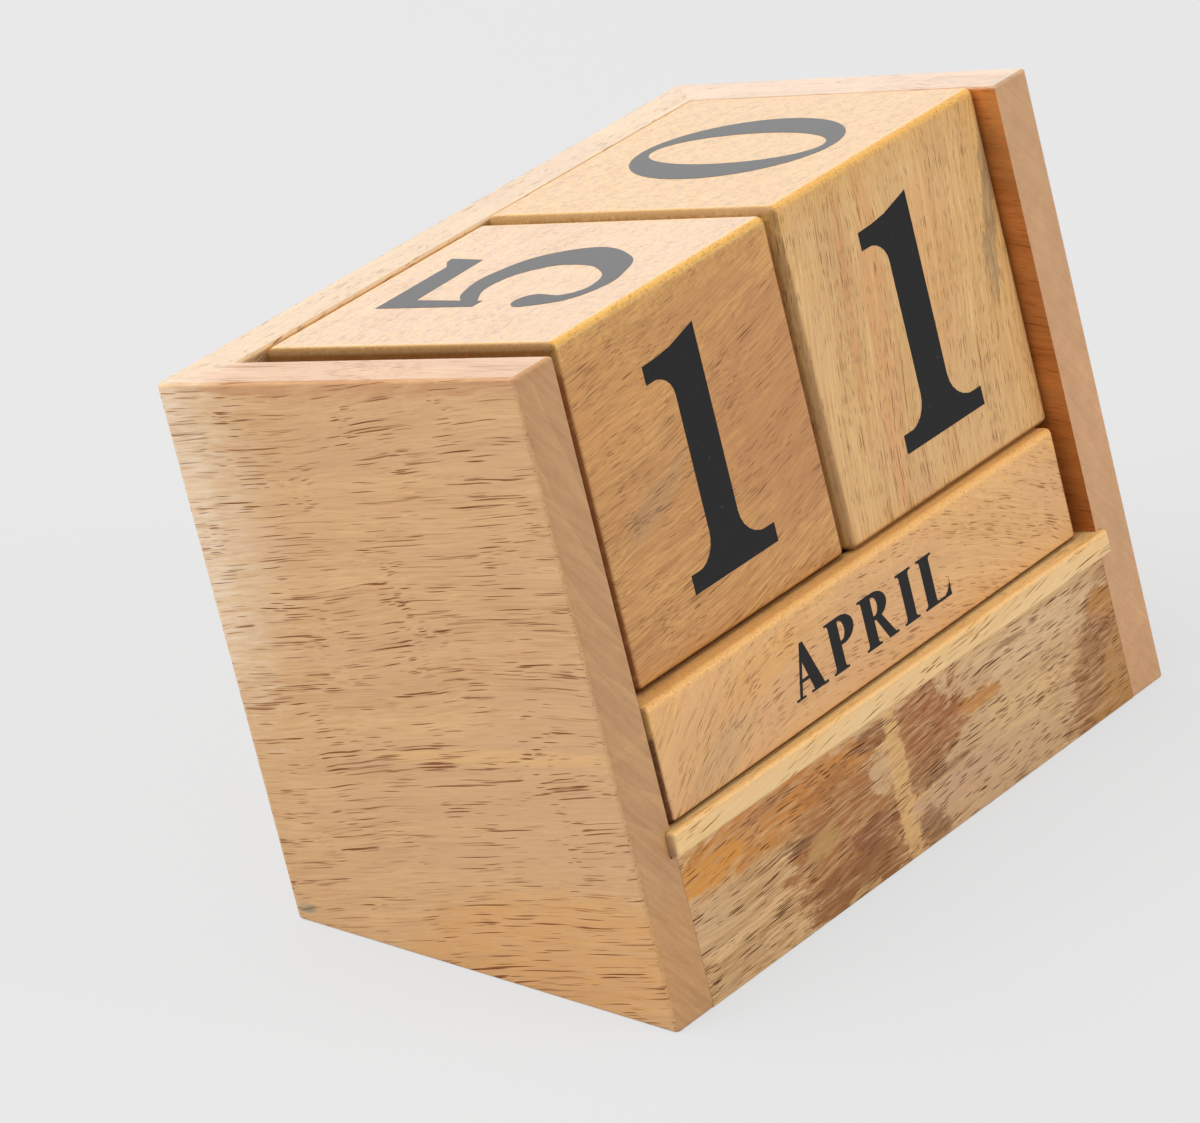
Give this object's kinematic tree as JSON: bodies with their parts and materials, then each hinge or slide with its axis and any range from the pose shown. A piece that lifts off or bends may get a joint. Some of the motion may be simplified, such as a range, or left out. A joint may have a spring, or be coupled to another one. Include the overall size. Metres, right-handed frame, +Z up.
{
  "type": "perpetual desk calendar",
  "caption": "Leaning open-fronted wooden box that holds loose day cubes above loose square month bars, lifted out and turned by hand to show any date.",
  "frame": {"origin": "on the surface it stands on, under the centre of its bounding box", "axes": "+X to the right as seen from the front, +Y to the back, +Z up; the front edge leans back by 13.35 degrees from +Z"},
  "size_m": [0.12, 0.0798, 0.0881],
  "materials": {
    "side_wood": "oiled, satin",
    "back_wood": "oiled, satin",
    "shelf_wood": "oiled, satin",
    "apron_wood": "oiled, satin",
    "left_cube_wood": "oiled, satin",
    "right_cube_wood": "oiled, satin",
    "bar_wood": "oiled, satin"
  },
  "bodies": {
    "box": {"side_panel_left": "side_wood", "side_panel_right": "side_wood", "back_board": "back_wood", "shelf_board": "shelf_wood", "front_apron": "apron_wood"},
    "left_cube": {"day_cube_left": "left_cube_wood"},
    "right_cube": {"day_cube_right": "right_cube_wood"},
    "rear_bar": {"month_bar_rear": "bar_wood"},
    "middle_bar": {"month_bar_middle": "bar_wood"},
    "front_bar": {"month_bar_front": "bar_wood"}
  },
  "joints": [
    {"name": "left_cube_lift", "type": "slide", "parent": "box", "child": "left_cube", "axis": [0, 0.2309, 0.973], "range_m": [0, 0.05]},
    {"name": "right_cube_lift", "type": "slide", "parent": "box", "child": "right_cube", "axis": [0, 0.2309, 0.973], "range_m": [0, 0.05]},
    {"name": "rear_bar_slide", "type": "slide", "parent": "box", "child": "rear_bar", "axis": [0, -0.973, 0.2309], "range_m": [0, 0.054]},
    {"name": "middle_bar_slide", "type": "slide", "parent": "rear_bar", "child": "middle_bar", "axis": [0, -0.973, 0.2309], "range_m": [0, 0.037]},
    {"name": "front_bar_slide", "type": "slide", "parent": "middle_bar", "child": "front_bar", "axis": [0, -0.973, 0.2309], "range_m": [0, 0.02]}
  ]
}
